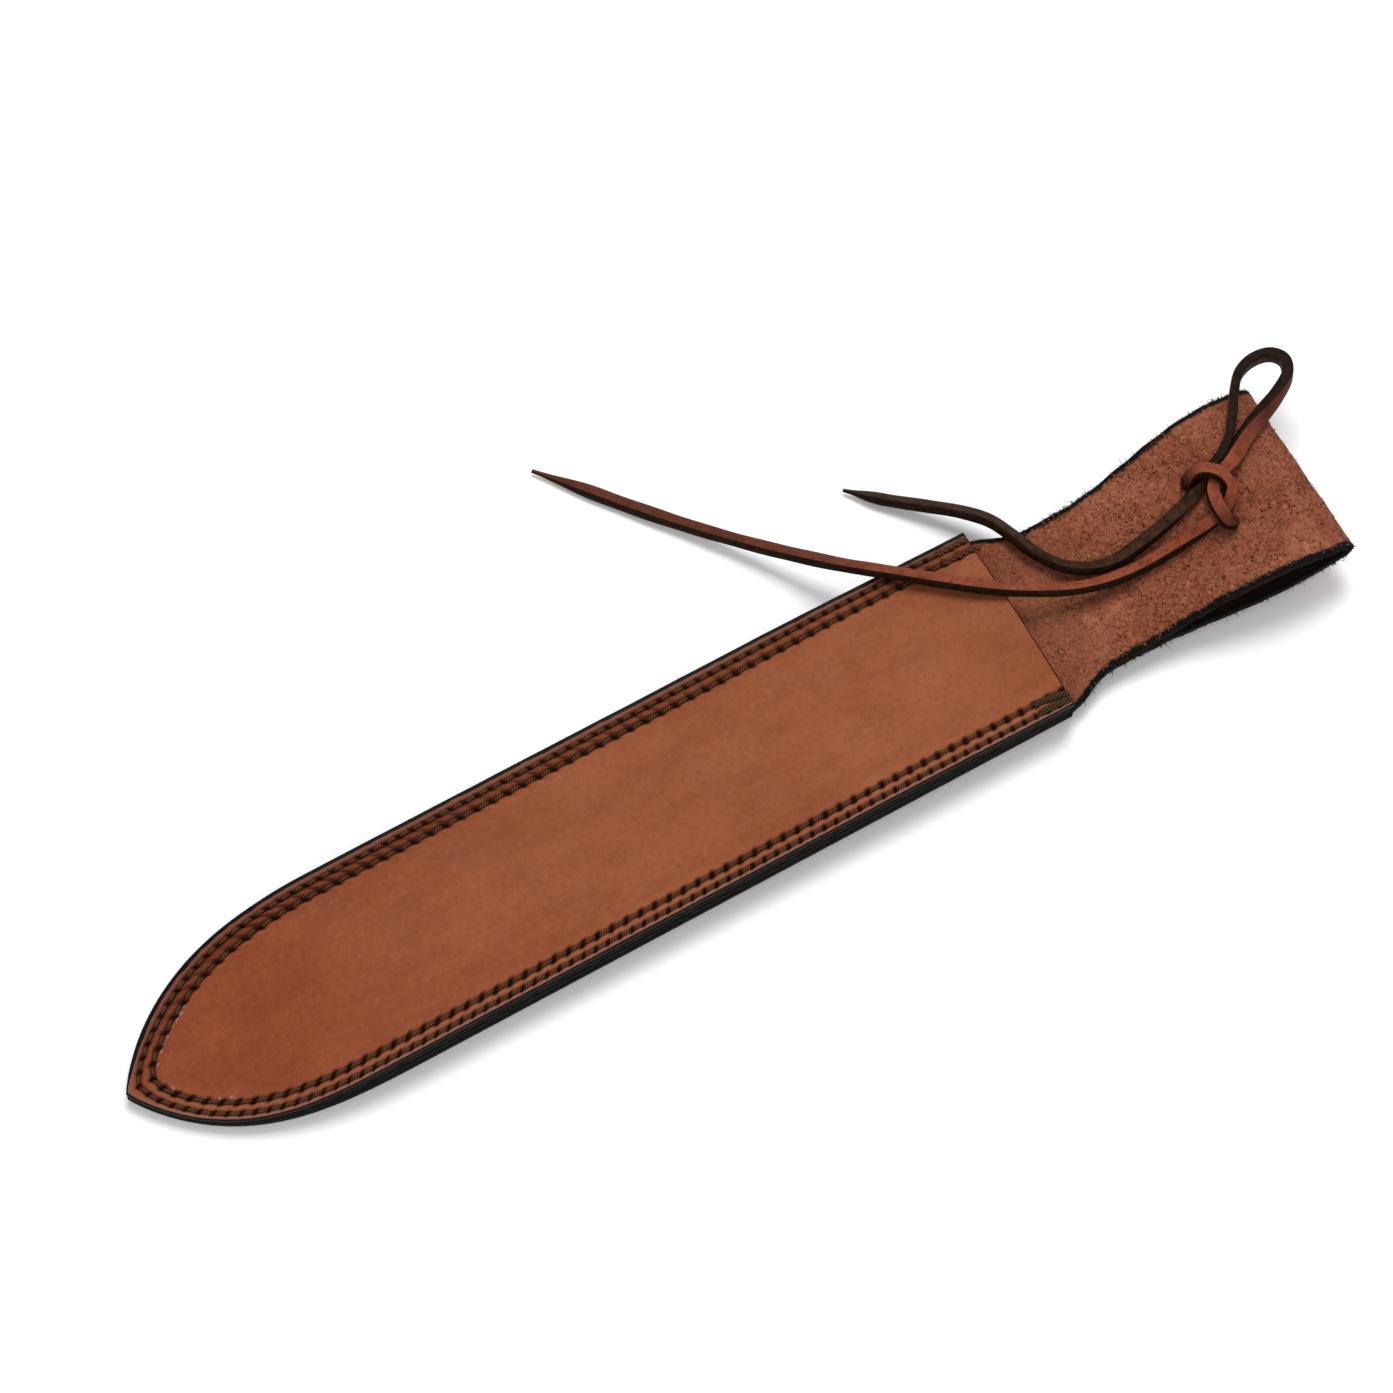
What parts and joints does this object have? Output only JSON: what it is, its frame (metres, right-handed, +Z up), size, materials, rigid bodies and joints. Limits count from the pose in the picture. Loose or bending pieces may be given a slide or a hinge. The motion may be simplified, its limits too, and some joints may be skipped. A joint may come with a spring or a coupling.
{
  "type": "leather knife belt sheath",
  "caption": "Empty pointed leather belt sheath for a wide garden knife, with a welted double-stitched edge, a folded belt loop and a tied leather thong.",
  "frame": {"origin": "middle of the sheath's footprint, on the surface it lies on", "axes": "+Y from the pointed tip to the fold of the belt loop, +Z up out of the front panel, +X to the right seen from above with the tip nearest"},
  "size_m": [0.1612, 0.4356, 0.0334],
  "materials": {
    "panel_leather": "smooth vegetable-tanned grain, satin",
    "suede_leather": "rough flesh side, matt",
    "welt_edge": "black dyed and burnished edge",
    "seam_thread": "waxed twisted thread",
    "tack_thread": "waxed twisted thread, olive brown",
    "lace_leather": "waxed latigo lace, dark cut edges"
  },
  "bodies": {
    "root": {"front_panel": "panel_leather", "back_panel_and_belt_loop": "suede_leather", "welt_lower_ply_left": "welt_edge", "welt_upper_ply_left": "welt_edge", "welt_lower_ply_right": "welt_edge", "welt_upper_ply_right": "welt_edge", "mouth_tack_left": "tack_thread", "mouth_tack_right": "tack_thread", "outer_seam_needle_thread": "seam_thread", "outer_seam_bobbin_thread": "seam_thread", "inner_seam_needle_thread": "seam_thread", "inner_seam_bobbin_thread": "seam_thread", "flap_seam_needle_thread": "seam_thread", "flap_seam_bobbin_thread": "seam_thread", "thong_loop_and_short_tail": "lace_leather", "thong_knot_and_long_tail": "lace_leather"}
  },
  "joints": []
}
